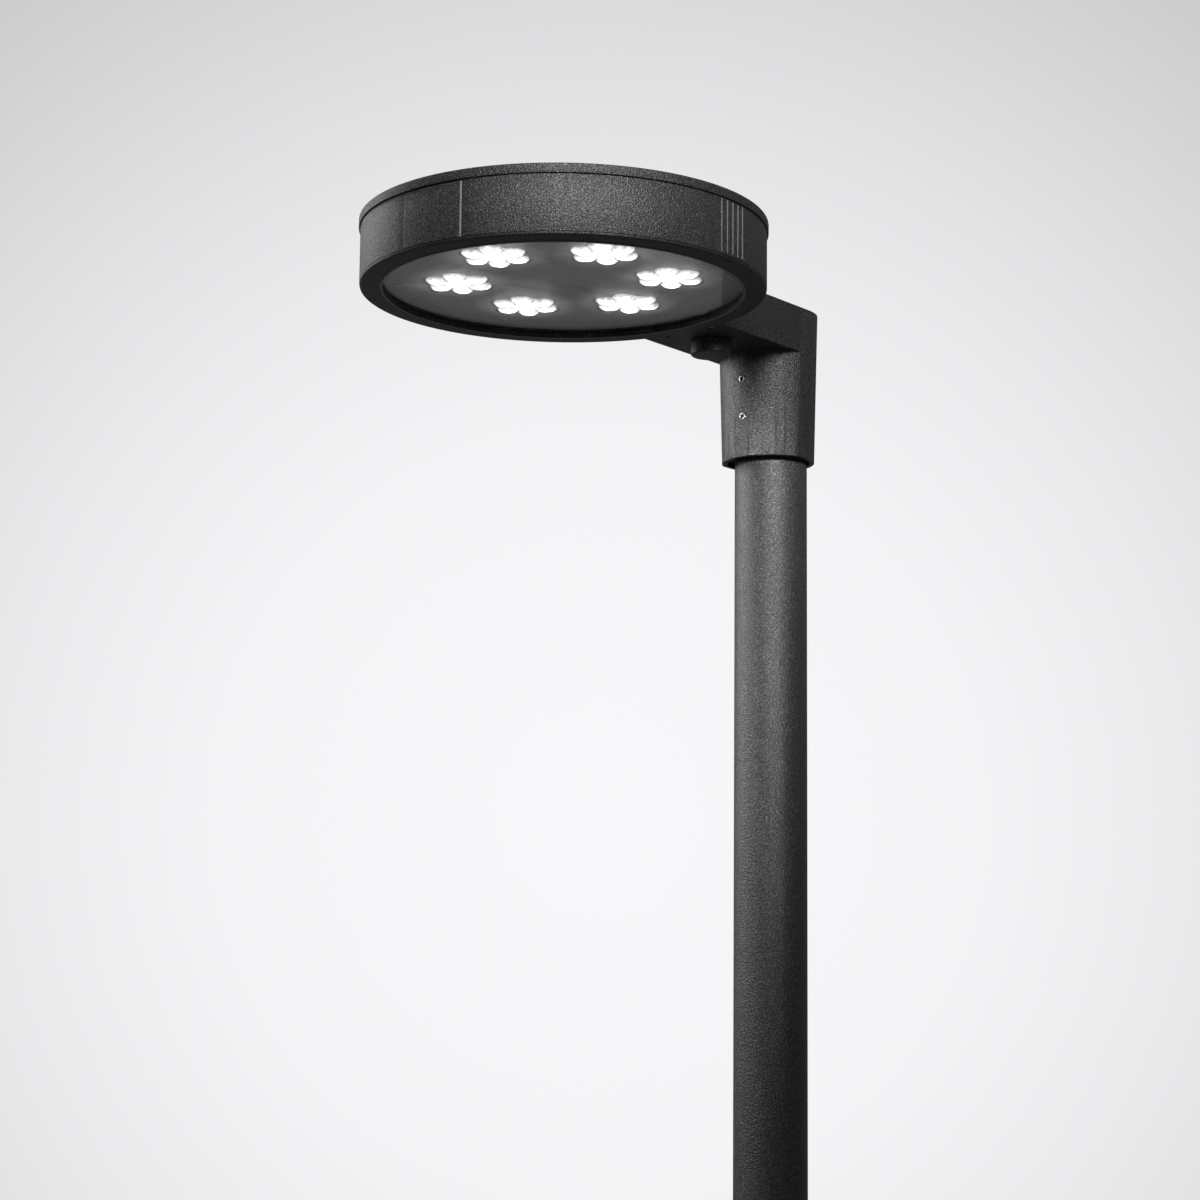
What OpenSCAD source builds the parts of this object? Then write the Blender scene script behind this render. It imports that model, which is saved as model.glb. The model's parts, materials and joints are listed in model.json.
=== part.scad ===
// Post-top street lamp: round flat LED head on an L-shaped bracket that slips
// over a plain round post. Millimetres, +Z up. The origin is the centre of the
// base plate's underside, the post is the Z axis and the head reaches out to -Y.

/* [Post] */
// Height of the top of the post tube above the ground
post_h = 3500; // [3000:50:4500]
// Outside diameter of the post tube
post_d = 76; // [76:0.5:76.5]
// Wall thickness of the post tube
post_wall = 3; // [2.9:0.1:3]
// Side of the square base plate
base_side = 300; // [280:10:360]
// Thickness of the base plate
base_t = 15; // [12:1:20]
// Distance between anchor holes
anchor_pitch = 220; // [200:5:240]
// Diameter of each anchor hole
anchor_d = 22; // [18:1:24]
// Diameter of the cable hole in the base plate
cable_hole_d = 60; // [50:2:64]

/* [Door] */
// Height of the middle of the door above the ground
door_mid = 650; // [500:10:900]
// Width of the door opening
door_w = 58; // [56:1:60]
// Height of the door opening
door_h = 300; // [290:5:320]

/* [Head] */
// Outside diameter of the side band
band_d = 390; // [388:1:392]
// Distance from the post's axis to the centre of the head
head_out = 356; // [354:1:358]
// How far the top cover stands out past the band
cover_lip = 1.6; // [1:0.1:2]
// Rise of the domed top cover at its centre
cover_dome = 6; // [3:1:10]
// Inner radius of the glass frame
frame_in = 173; // [170:1:175]
// Radius of the circle of lens clusters
cluster_ring = 102; // [98:1:104]
// Radius of the circle of lenses within a cluster
petal_ring = 21.5; // [18:0.5:22]
// Radius of one lens
petal_r = 11.5; // [9:0.5:12]
// Number of fine ribs on each side of the band
rib_n = 5; // [3:2:9]
// Angle between neighbouring ribs
rib_step = 2.5; // [2:0.1:3]
// Half of the angle that the release panel covers
panel_half = 10.4; // [9.5:0.1:10.6]

/* [Bracket] */
// Half width of the collar at its lower rim
collar_w = 47.9; // [47.5:0.1:48.5]
// Radius of the collar's front, about the post's axis
collar_r = 51.5; // [51:0.1:52.5]
// How far the round back's centre lies in front of the axis
collar_c = 4; // [3:0.5:4.5]
// Growth of the section from the lower rim to the top
draft = 1.079; // [1.05:0.001:1.09]
// Height of the bracket
bracket_h = 158.5; // [156:0.5:160]
// Distance between the two grub screws
grub_pitch = 40; // [36:1:44]
// Diameter of the knob under the arm
knob_d = 42; // [40:1:44]
// Distance from the post's axis to the knob's axis
knob_out = 110; // [106:1:114]

/* [Hidden] */
$fn = 96;
eps = 0.01;
cz = post_h - 100;               // the collar's lower rim
pr = post_d/2;
pi = pr - post_wall;             // inner radius of the tube
br = band_d/2;
z_arm = cz + 111;                // underside of the arm
z_top = cz + bracket_h;          // top of the arm
z_fb = cz + 107.4;               // underside of the glass frame
z_ft = cz + 110.3;               // top of the frame's rim
z_gl = cz + 111.4;               // underside of the glass
z_gt = cz + 116.4;               // top of the glass
z_bb = cz + 110.9;               // lower edge of the band
z_bt = cz + 163.6;               // upper edge of the band
z_w0 = cz + 135.8;               // underside of the web
z_w1 = cz + 139.8;               // top of the web
z_cb = cz + 164.1;               // lower edge of the cover's skirt
z_ct = cz + 173.4;               // top edge of the cover's skirt
z_cu = cz + 170.4;               // underside of the cover's rim
z_pl = cz + 124;                 // underside of the reflector plate
z_sp = cz + 129.8;               // underside of the heat spreader
z_lead = cz + 147.5;             // axis of the lead in the arm
hinge_y = -158;                  // axis of the glass frame's hinge
hinge_z = cz + 111.5;
grub_z = cz + 42.2;
door_lo = door_mid - door_h/2;
door_hi = door_mid + door_h/2;
bolt_lo = door_lo + 16;
bolt_hi = door_hi - 16;
screw_r = 178;                   // circle of the cover's screws
rim_r = br + cover_lip;

// ---- shared shapes ----

// a rectangle with round corners, centred
module round_rect(w, h, r) {
  square([w - 2*r, h], center = true);
  square([w, h - 2*r], center = true);
  for (x = [-1, 1], y = [-1, 1])
    translate([x*(w/2 - r), y*(h/2 - r)]) circle(r = r);
}

// the same, standing upright and running along Y from y0 to y1
module upright(w, h, r, z, y0, y1) {
  translate([0, y1, z]) rotate([90, 0, 0])
    linear_extrude(height = y1 - y0) round_rect(w, h, r);
}

// a cylinder along Y from y0 to y1
module ycyl(x, z, r, y0, y1, n = 96) {
  translate([x, y1, z]) rotate([90, 0, 0]) cylinder(r = r, h = y1 - y0, $fn = n);
}

// a cylinder along X from x0 to x1
module xcyl(y, z, r, x0, x1, n = 96) {
  translate([x0, y, z]) rotate([0, 90, 0]) cylinder(r = r, h = x1 - x0, $fn = n);
}

// a box between two corners
module box(a, b) { translate(a) cube(b - a); }

// a ring about the current Z axis
module ring(r0, r1, z0, z1) {
  translate([0, 0, z0]) difference() {
    cylinder(r = r1, h = z1 - z0);
    translate([0, 0, -1]) cylinder(r = r0, h = z1 - z0 + 2);
  }
}

// children placed in the head's own axis
module at_head() { translate([0, -head_out, 0]) children(); }

// the collar's section: round front about the axis, flat sides, round back
module collar_2d(w, r, c) {
  intersection() {
    circle(r = r);
    translate([-w, -r - 1]) square([2*w, r + 1]);
  }
  translate([-w, -c]) square([2*w, c]);
  translate([0, -c]) circle(r = w);
}

// block with the bracket's drafted sides, from y0 to y1 and from height h0 up
module drafted(y0, y1, h0) {
  w0 = collar_w*(1 + (draft - 1)*h0/bracket_h);
  translate([0, y1, 0]) rotate([90, 0, 0]) linear_extrude(height = y1 - y0)
    polygon([[-w0, cz + h0], [w0, cz + h0], [collar_w*draft, z_top], [-collar_w*draft, z_top]]);
}

// points of a helix, and a round tube swept along a list of points
function helix(r, len, turns, n) =
  [for (i = [0:n]) let (a = 360*turns*i/n) [r*cos(a), len*i/n, r*sin(a)]];
function unit(v) = v/norm(v);
function tangent(p, i) = unit(p[min(i + 1, len(p) - 1)] - p[max(i - 1, 0)]);
function side(t) = unit(cross(t, abs(t[1]) > 0.9 ? [1, 0, 0] : [0, 1, 0]));
module sweep(p, r, s = 8) {
  n = len(p);
  pts = [for (i = [0:n - 1]) let (t = tangent(p, i), u = side(t), v = cross(t, u))
    for (k = [0:s - 1]) p[i] + r*(cos(360*k/s)*u + sin(360*k/s)*v)];
  faces = concat(
    [[for (k = [0:s - 1]) k]],
    [for (i = [0:n - 2], k = [0:s - 1])
      [i*s + k, (i + 1)*s + k, (i + 1)*s + (k + 1)%s, i*s + (k + 1)%s]],
    [[for (k = [s - 1:-1:0]) (n - 1)*s + k]]);
  polyhedron(pts, faces, convexity = 4);
}

// ---- post ----

// welded foot with four anchor holes, a cable hole and a ring that centres the tube
module base_plate() {
  color([0.13, 0.13, 0.135]) difference() {
    union() {
      linear_extrude(height = base_t) round_rect(base_side, base_side, 20);
      // weld around the foot of the tube
      translate([0, 0, base_t]) rotate_extrude()
        polygon([[pi - 2, -eps], [pr + 5, -eps], [pr + 0.02, 5], [pr + 0.02, 0], [pi - 2, 0]]);
      // centring ring inside the tube
      translate([0, 0, base_t - eps]) cylinder(r = pi - 0.1, h = 5 + eps);
    }
    translate([0, 0, -1]) cylinder(d = cable_hole_d, h = base_t + 10);
    for (x = [-1, 1], y = [-1, 1])
      translate([x*anchor_pitch/2, y*anchor_pitch/2, -1]) cylinder(d = anchor_d, h = base_t + 2);
  }
}

// plain round tube with the door opening
module post_tube() {
  color([0.13, 0.13, 0.135]) difference() {
    translate([0, 0, base_t]) cylinder(r = pr, h = post_h - base_t);
    translate([0, 0, base_t - 1]) cylinder(r = pi, h = post_h - base_t + 2);
    upright(door_w, door_h, 10, door_mid, -pr - 5, 0);
  }
}

// two threaded bars across the tube that the door's bolts screw into
module door_bridges() {
  color("dimgray") for (z = [bolt_lo, bolt_hi]) difference() {
    intersection() {
      box([-pr, -19, z - 10], [pr, -13, z + 10]);
      translate([0, 0, z - 12]) cylinder(r = pi, h = 24);
    }
    ycyl(0, z, 4.05, -25, -5);
  }
}

// flat bar that carries the fuse box
module mounting_rail() {
  color("silver") difference() {
    box([-12, 29, door_lo + 25], [12, 32, door_hi - 25]);
    for (z = [door_lo + 40, door_hi - 40]) ycyl(0, z, 3.05, 25, 35);
  }
}

// welded studs with nuts for the rail
module rail_studs() {
  color("silver") for (z = [door_lo + 40, door_hi - 40]) {
    intersection() {
      ycyl(0, z, 3, 23, pi + 2);
      translate([0, 0, z - 10]) cylinder(r = pi, h = 20);
    }
    difference() {
      ycyl(0, z, 5.7, 24.4, 28.95, 6);
      ycyl(0, z, 3, 20, 32);
    }
  }
}

// earth stud with washer and nut, below the rail
module earth_stud() {
  color([0.8, 0.65, 0.3]) difference() {
    union() {
      intersection() {
        ycyl(0, door_lo + 10, 4, 16, pi + 2);
        translate([0, 0, door_lo]) cylinder(r = pi, h = 20);
      }
      ycyl(0, door_lo + 10, 8, 27, 28.5);
      ycyl(0, door_lo + 10, 7.5, 20.5, 27, 6);
    }
  }
}

// insulated box for the fuse, open at its front
module fuse_box() {
  color([0.35, 0.37, 0.4]) {
    difference() {
      box([-19, -9, 575], [19, 25, 705]);
      box([-17, -10, 577], [17, 23, 703]);
      translate([0, 0, 700]) cylinder(r = 5.5, h = 10);
      for (x = [-9, 9]) translate([x, 6, 570]) cylinder(r = 5.5, h = 10);
    }
    // clip to the rail
    box([-12, 25, 600], [12, 29, 680]);
  }
}

// contact block that the carrier plugs into
module fuse_base() {
  color("whitesmoke") difference() {
    box([-14, 13, 615], [14, 23, 670]);
    for (z = [628, 657]) ycyl(0, z, 2.5, 12, 20);
  }
}

// front cover with the carrier's window
module fuse_box_lid() {
  color([0.75, 0.76, 0.78]) difference() {
    box([-19, -11.5, 575], [19, -9, 705]);
    box([-14, -13, 620], [14, -8, 665]);
    for (z = [585, 695]) ycyl(0, z, 1.8, -13, -8);
  }
}

// cable glands: one at the top, two below
module box_glands() {
  color([0.2, 0.2, 0.2]) {
    translate([0, 0, 705]) difference() {
      union() { cylinder(r = 8, h = 5, $fn = 6); cylinder(r = 6.5, h = 12); }
      translate([0, 0, -1]) cylinder(r = 3, h = 6);
    }
    for (x = [-9, 9]) translate([x, 6, 561]) difference() {
      union() { translate([0, 0, 9]) cylinder(r = 8, h = 5, $fn = 6); cylinder(r = 6.5, h = 12); }
      translate([0, 0, -1]) cylinder(r = 3.2, h = 20);
    }
  }
}

// cable from the fuse box up to the connector in the collar
module riser_cable() {
  color([0.1, 0.1, 0.1]) translate([0, 0, 717]) cylinder(r = 4.5, h = cz + 52 - 717);
}

// lower half of the connector
module riser_socket() {
  color([0.15, 0.15, 0.16]) translate([0, 0, cz + 52]) {
    cylinder(r1 = 6, r2 = 12, h = 6);
    translate([0, 0, 6]) cylinder(r = 12, h = 22);
  }
}

// ---- door ----

// curved door, flush with the tube
module door_panel() {
  color([0.13, 0.13, 0.135]) difference() {
    intersection() {
      ring(pi, pr, door_lo - 5, door_hi + 5);
      upright(door_w - 1.2, door_h - 1.2, 9.4, door_mid, -pr - 5, -5);
    }
    for (z = [bolt_lo, bolt_hi]) {
      ycyl(0, z, 4.05, -50, -10);
      ycyl(0, z, 7, -50, -36.4);
    }
  }
}

// rubber rim on the door's inner face
module door_gasket() {
  color([0.08, 0.08, 0.08]) difference() {
    intersection() {
      ring(pi - 1.8, pi - 0.02, door_lo - 5, door_hi + 5);
      upright(door_w - 4, door_h - 4, 8, door_mid, -pr - 5, -5);
    }
    upright(door_w - 12, door_h - 12, 5, door_mid, -pr - 8, 0);
  }
}

// captive button-head bolt with a hexagon socket
module door_bolt(z) {
  difference() {
    union() {
      ycyl(0, z, 6.6, -38, -36.45);
      ycyl(0, z, 4, -36.46, -9);
    }
    ycyl(0, z, 2.9, -40, -34.8, 6);
  }
}
module door_bolt_upper() { color("silver") door_bolt(bolt_hi); }
module door_bolt_lower() { color("silver") door_bolt(bolt_lo); }

// pull-out carrier with its cartridge
module fuse_carrier() {
  color([0.25, 0.26, 0.28]) difference() {
    box([-13.6, -14, 620.4], [13.6, 12.6, 664.6]);
    translate([0, 0, 623]) cylinder(r = 5.25, h = 39);
    // finger grips
    for (s = [-1, 1]) translate([s*15.2, -14, 642.5]) cylinder(r = 3.4, h = 60, center = true);
  }
}
module fuse_cartridge() {
  color("white") translate([0, 0, 623.5]) cylinder(r = 5.15, h = 38);
}

// ---- bracket ----

// one casting: drafted collar over the post and a hollow box arm
module bracket() {
  color([0.13, 0.13, 0.135]) difference() {
    union() {
      // collar: round front, flat drafted sides, round back
      intersection() {
        translate([0, 0, cz]) cylinder(r1 = collar_r, r2 = collar_r*draft, h = bracket_h);
        drafted(-70, 0, 0);
      }
      drafted(-collar_c, 0, 0);
      translate([0, -collar_c, cz]) cylinder(r1 = collar_w, r2 = collar_w*draft, h = bracket_h);
      // arm, flush with the collar's sides
      drafted(-175, -20, 111);
    }
    // fits the round side of the head
    at_head() translate([0, 0, cz + 90]) cylinder(r = br + 0.05, h = 100);
    // bore for the post, and a wider mouth
    translate([0, 0, cz - 1]) cylinder(r = pr + 0.06, h = 101.3);
    translate([0, 0, cz - 1]) linear_extrude(height = 6)
      collar_2d(collar_w - 5, collar_r - 5.5, collar_c);
    // cable hole through the shoulder
    translate([0, 0, cz + 95]) cylinder(r = 16, h = 30);
    // hollow of the arm
    box([-45, -151, z_arm + 4.5], [45, 18, z_top - 3.2]);
    // cable hole and threads in the wall at the head
    ycyl(0, z_lead, 6.55, -170, -145);
    for (x = [-32, 32], z = [cz + 129, cz + 150]) ycyl(x, z, 3, -175, -145);
    // hole for the sensor socket
    translate([0, -knob_out, z_arm - 1]) cylinder(r = 17.05, h = 8);
    // threads of the grub screws
    for (k = [0, 1]) ycyl(0, grub_z + k*grub_pitch, 4.02, -60, -30);
    // pockets and holes for the frame's hinge
    for (s = [-1, 1]) {
      xcyl(hinge_y, hinge_z, 4.7, s > 0 ? 20 : -32, s > 0 ? 32 : -20);
      xcyl(hinge_y, hinge_z, 1.5, s > 0 ? 16 : -36, s > 0 ? 36 : -16);
    }
  }
}

// socket grub screws that clamp the bracket to the post
module grub_screws() {
  color("silver") for (k = [0, 1]) difference() {
    ycyl(0, grub_z + k*grub_pitch, 4, -53.2 - 1.0*k, -pr - 0.3);
    ycyl(0, grub_z + k*grub_pitch, 2.3, -60, -49.5 - 1.0*k, 6);
  }
}

// bolts from inside the head into the arm
module bracket_bolts() {
  color("silver") for (x = [-32, 32], z = [cz + 129, cz + 150]) {
    ycyl(x, z, 3, -168.5, -150);
    difference() {
      ycyl(x, z, 5, -170.9, -166.9);
      ycyl(x, z, 2.5, -175, -168.5, 6);
    }
  }
}

// upper half of the connector, hanging on the lead
module lead_plug() {
  color([0.15, 0.15, 0.16]) translate([0, 0, cz + 80.4]) {
    cylinder(r = 12, h = 18);
    translate([0, 0, 18]) cylinder(r1 = 12, r2 = 6, h = 6);
  }
}

// lead that turns from the post's axis into the arm and the head
module luminaire_lead() {
  color([0.1, 0.1, 0.1]) {
    translate([0, 0, cz + 104.4]) cylinder(r = 4, h = 147.5 - 15 - 104.4);
    translate([0, -15, z_lead - 15]) rotate([0, -90, 0]) rotate_extrude(angle = 90)
      translate([15, 0]) circle(r = 4, $fn = 48);
    ycyl(0, z_lead, 4, -200, -15);
  }
}

// rubber grommet where the lead enters the head
module lead_grommet() {
  color([0.06, 0.06, 0.06]) difference() {
    union() {
      ycyl(0, z_lead, 6.5, -170, -146);
      ycyl(0, z_lead, 7.6, -168.6, -165.2);
      ycyl(0, z_lead, 7.6, -150.9, -147);
    }
    ycyl(0, z_lead, 4, -175, -140);
  }
}

// socket for a sensor in the arm's floor
module sensor_socket() {
  color([0.12, 0.12, 0.13]) translate([0, -knob_out, 0]) difference() {
    union() {
      translate([0, 0, z_arm + 0.3]) cylinder(r = 17, h = 12);
      translate([0, 0, z_arm + 4.5]) cylinder(r = 20, h = 2.5);
    }
    translate([0, 0, z_arm - 1]) cylinder(r = 14, h = 9.5);
  }
}

// twist-off cap that closes the socket: the knob under the arm
module socket_cap() {
  color([0.12, 0.12, 0.125]) translate([0, -knob_out, 0]) difference() {
    union() {
      translate([0, 0, z_arm - 15.6]) cylinder(r1 = knob_d/2 - 1.2, r2 = knob_d/2, h = 1.2);
      translate([0, 0, z_arm - 14.4]) cylinder(r = knob_d/2, h = 13.8);
      translate([0, 0, z_arm - 0.61]) cylinder(r = 13.5, h = 7);
    }
    ring(17.2, 19.6, z_arm - 1.4, z_arm + 0.2);
    translate([0, 0, z_arm - 12.6]) cylinder(r = 10.5, h = 30);
  }
}
module socket_cap_seal() {
  color([0.05, 0.05, 0.05]) translate([0, -knob_out, 0]) ring(17.25, 19.55, z_arm - 1.4, z_arm - 0.3);
}

// ---- head ----

// casting: band, web, upper rim, screw bosses and the recess behind the panel
module housing_body() {
  px = br*sin(panel_half);
  color([0.13, 0.13, 0.135]) at_head() difference() {
    union() {
      ring(191, br, z_bb, z_bt);
      translate([0, 0, z_w0]) cylinder(r = 191.2, h = z_w1 - z_w0);
      ring(183, 191.2, cz + 120.4, cz + 123.4);
      ring(186.5, 191.2, cz + 156, cz + 167.4);
      for (k = [0:3]) rotate(45 + 90*k)
        translate([screw_r, 0, z_w1 - eps]) cylinder(r = 6, h = z_cu - z_w1 + eps);
      intersection() {
        box([-px - 3.4, -192, cz + 123.3], [px + 3.4, -181.5, z_bt]);
        translate([0, 0, cz + 100]) cylinder(r = 191.2, h = 80);
      }
      // fine ribs on both sides
      for (s = [0, 1], k = [0:rib_n - 1]) mirror([s, 0, 0])
        rotate(0.8 + rib_step*(k - (rib_n - 1)/2))
          translate([br - 0.5, -0.5, z_bb + 1.5]) cube([1.4, 1, z_bt - z_bb - 3]);
    }
    // recess and window of the release panel
    box([-px, -200, cz + 123.4], [px, -184.5, z_bt + 0.02]);
    difference() {
      box([-px, -200, cz + 100], [px, -180, cz + 123.5]);
      translate([0, 0, cz + 90]) cylinder(r = 190.95, h = 60);
      translate([0, 0, cz + 120.4]) cylinder(r = 191.2, h = 60);
    }
    // threads for the cover's screws
    for (k = [0:3]) rotate(45 + 90*k)
      translate([screw_r, 0, z_w1 + 5]) cylinder(r = 2.5, h = 60);
    // bolts to the bracket with their flat seats, and the lead
    for (x = [-32, 32], z = [cz + 129, cz + 150]) {
      ycyl(x, z, 3.2, head_out - 180, head_out - 150);
      ycyl(x, z, 5.4, head_out - 186, head_out - 166.9);
    }
    ycyl(0, z_lead, 6.55, head_out - 180, head_out - 150);
    // wire hole in the web, holes for the driver's screws
    translate([0, 11, z_w0 - 1]) cylinder(r = 4, h = 8);
    for (x = [-76, 76]) translate([x, 61, z_w0 + 1]) cylinder(r = 2, h = 8);
  }
}

// domed cover with a short skirt
module top_cover() {
  n = 14;
  ro = rim_r - 1;
  color([0.13, 0.13, 0.135]) at_head() difference() {
    rotate_extrude() polygon(concat(
      [[193.6, z_cu], [193.6, z_cb], [rim_r, z_cb], [rim_r, z_ct - 1]],
      [for (i = [n:-1:0]) let (r = ro*i/n) [r, z_ct + cover_dome*(1 - pow(r/ro, 2))]],
      [for (i = [0:n]) let (r = 170*i/n) [r, z_cu + (cover_dome - 0.6)*(1 - pow(r/170, 2))]]));
    for (k = [0:3]) rotate(45 + 90*k) translate([screw_r, 0, 0]) {
      translate([0, 0, z_cu - 1]) cylinder(r = 2.6, h = 10);
      translate([0, 0, z_ct - 0.6]) cylinder(r = 5, h = 6);
    }
  }
}

// soft ring between the rim and the cover
module top_cover_gasket() {
  color([0.05, 0.05, 0.05]) at_head() ring(186.6, 191, cz + 167.4, z_cu);
}

// four socket screws
module top_cover_screws() {
  color("silver") at_head() for (k = [0:3]) rotate(45 + 90*k) translate([screw_r, 0, 0])
    difference() {
      union() {
        translate([0, 0, z_cu - 14]) cylinder(r = 2.5, h = 18);
        translate([0, 0, z_ct - 0.6]) cylinder(r = 4.8, h = 2.4);
      }
      translate([0, 0, z_ct - 0.2]) cylinder(r = 2.3, h = 5, $fn = 6);
    }
}

// aluminium plate that the boards are screwed to, with spacer bosses
module heat_spreader() {
  color("silver") at_head() difference() {
    union() {
      translate([0, 0, z_sp]) cylinder(r = 176, h = z_w0 - z_sp);
      for (k = [0:5]) rotate(30 + 60*k)
        translate([160, 0, z_pl + 1.2]) cylinder(r = 4, h = z_sp - z_pl - 1.2 + eps);
    }
    for (k = [0:5]) rotate(30 + 60*k) translate([160, 0, z_pl - 1]) cylinder(r = 1.5, h = 10);
    translate([0, 11, z_sp - 1]) cylinder(r = 4, h = 10);
  }
}

// children at each of the six clusters
module at_clusters() {
  at_head() for (k = [0:5]) rotate(90 + 60*k) translate([cluster_ring, 0, 0]) rotate(30) children();
}

module led_boards() {
  color([0.9, 0.9, 0.88]) at_clusters() translate([0, 0, z_sp - 1.6]) cylinder(r = 34, h = 1.6);
}

module led_chips() {
  color([0.95, 0.9, 0.6]) at_clusters() {
    translate([-2, -2, z_sp - 2.3]) cube([4, 4, 0.7]);
    for (j = [0:5]) rotate(60*j) translate([petal_ring - 2, -2, z_sp - 2.3]) cube([4, 4, 0.7]);
  }
}

// flower-shaped lens unit: six petals round a centre on a flat base
module lens_clusters() {
  color([0.97, 0.97, 0.97]) at_clusters() {
    difference() {
      translate([0, 0, z_pl + 1.2]) cylinder(r = 34, h = z_sp - 1.6 - z_pl - 1.2);
      translate([0, 0, z_sp - 2.4]) cylinder(r = 32, h = 2);
    }
    translate([0, 0, z_pl - 3]) cylinder(r1 = 6.5, r2 = 10.5, h = 4.3);
    for (j = [0:5]) rotate(60*j) translate([petal_ring, 0, z_pl - 4.5])
      cylinder(r1 = petal_r - 4.5, r2 = petal_r, h = 5.8);
  }
}

// grey plate round the lenses
module reflector_plate() {
  color([0.42, 0.42, 0.43]) difference() {
    at_head() translate([0, 0, z_pl]) cylinder(r = 181, h = 1.2);
    at_clusters() {
      translate([0, 0, z_pl - 1]) cylinder(r = 16, h = 4);
      for (j = [0:5]) rotate(60*j) translate([petal_ring, 0, z_pl - 1])
        cylinder(r = petal_r + 0.2, h = 4);
    }
    at_head() for (k = [0:5]) rotate(30 + 60*k)
      translate([160, 0, z_pl - 1]) cylinder(r = 1.6, h = 4);
  }
}

module reflector_screws() {
  color("silver") at_head() for (k = [0:5]) rotate(30 + 60*k) translate([160, 0, 0])
    difference() {
      union() {
        translate([0, 0, z_pl - 2]) cylinder(r = 3, h = 2);
        translate([0, 0, z_pl - 0.01]) cylinder(r = 1.5, h = 8);
      }
      translate([0, 0, z_pl - 3]) cylinder(r = 1.4, h = 2, $fn = 6);
    }
}

module led_driver() {
  color([0.85, 0.85, 0.86]) at_head() difference() {
    union() {
      box([-70, 26, z_w1], [70, 96, z_w1 + 21]);
      box([-82, 51, z_w1], [82, 71, z_w1 + 2]);
    }
    for (x = [-76, 76]) translate([x, 61, z_w1 - 1]) cylinder(r = 2.1, h = 5);
  }
}

module driver_screws() {
  color("silver") at_head() for (x = [-76, 76]) translate([x, 61, 0]) difference() {
    union() {
      translate([0, 0, z_w0 + 1.2]) cylinder(r = 2, h = z_w1 + 2 - z_w0 - 1.2);
      translate([0, 0, z_w1 + 2]) cylinder(r = 3.8, h = 2.4);
    }
    translate([0, 0, z_w1 + 3]) cylinder(r = 1.7, h = 5, $fn = 6);
  }
}

module surge_protector() {
  color([0.3, 0.32, 0.36]) at_head() box([-78, 118, z_w1], [-34, 148, z_w1 + 17]);
}

module terminal_block() {
  color([0.88, 0.88, 0.86]) at_head() difference() {
    box([-18, 130, z_w1], [18, 156, z_w1 + 18]);
    for (x = [-12, -4, 4, 12]) translate([x, 136, z_w1 + 10]) cylinder(r = 2.2, h = 10);
  }
}

// short insulated wires between the terminal, the surge protector and the driver
module head_wiring() {
  color([0.1, 0.25, 0.5]) {
    for (x = [-6, 0, 6]) at_head() ycyl(x, z_w1 + 6, 1.5, 96, 130, 24);
    at_head() xcyl(140, z_w1 + 6, 1.5, -34, -18, 24);
    at_head() {
      ycyl(0, z_w1 + 6, 1.6, 11, 26, 24);
      translate([0, 11, z_w1 + 6]) sphere(r = 1.6, $fn = 24);
      translate([0, 11, z_sp - 1.6]) cylinder(r = 1.6, h = z_w1 + 6 - z_sp + 1.6, $fn = 24);
      ycyl(0, z_sp - 1.6, 1.3, 11, 66, 24);
      translate([0, 0, z_sp - 1.6]) rotate_extrude() translate([66, 0]) circle(r = 1.3, $fn = 24);
    }
  }
}

// soft ring that the glass frame closes against
module frame_gasket() {
  color([0.05, 0.05, 0.05]) at_head() ring(184.8, 190.8, cz + 118.3, cz + 120.4);
}

module hinge_pins() {
  color("silver") for (s = [-1, 1]) xcyl(hinge_y, hinge_z, 1.5, s > 0 ? 16 : -36, s > 0 ? 36 : -16);
}

// rocking release panel, flush with the band; its lower edge is the pivot
module latch_panel() {
  g = 0.6;
  px = br*sin(panel_half) - g;
  color([0.13, 0.13, 0.135]) at_head() {
    intersection() {
      ring(192.4, br, z_bb + 0.1, z_bt - g);
      box([-px, -200, cz + 100], [px, -150, cz + 180]);
    }
    // spring seats
    for (x = [-15, 15]) ycyl(x, cz + 150, 4, -192.2, -190.6);
  }
}

// springs that push the panel's upper part out again
module latch_springs() {
  color("silver") at_head() for (x = [-15, 15]) translate([x, -190.2, cz + 150])
    sweep(helix(2.6, 5.3, 4, 52), 0.35, 6);
}

// dark ring that carries the glass and swings down on the hinge
module glass_frame() {
  color([0.05, 0.05, 0.05]) {
    difference() {
      union() {
        at_head() rotate_extrude() polygon([
          [frame_in, z_fb - 0.4], [frame_in + 0.4, z_fb - 0.8], [frame_in + 1.2, z_fb - 0.8],
          [frame_in + 1.9, z_fb], [192.8, z_fb], [194.6, z_fb + 1.2],
          [br, z_ft], [190.5, z_ft], [190.5, cz + 118], [184.5, cz + 118], [184.5, z_gl],
          [frame_in, z_gl]]);
        for (s = [-1, 1]) {
          box([s > 0 ? 20.4 : -31.6, -172, z_fb + 0.3], [s > 0 ? 31.6 : -20.4, hinge_y, z_ft]);
          xcyl(hinge_y, hinge_z, 3.4, s > 0 ? 20.4 : -31.6, s > 0 ? 31.6 : -20.4);
        }
      }
      for (s = [-1, 1]) xcyl(hinge_y, hinge_z, 1.56, s > 0 ? 20 : -32, s > 0 ? 32 : -20);
    }
  }
}

// clear glass
module glass_disc() {
  color([0.85, 0.9, 0.92, 0.4]) at_head() translate([0, 0, z_gl]) cylinder(r = 181, h = z_gt - z_gl);
}

// soft ring round the edge of the glass
module glass_seal() {
  color([0.05, 0.05, 0.05]) at_head() ring(181, 184.5, z_gl, z_gt);
}

// spring clips that hold the glass down
module glass_clips() {
  color("silver") at_head() for (k = [0:5]) rotate(30 + 60*k) box([172, -7, z_gt], [184.3, 7, z_gt + 1.2]);
}

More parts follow.
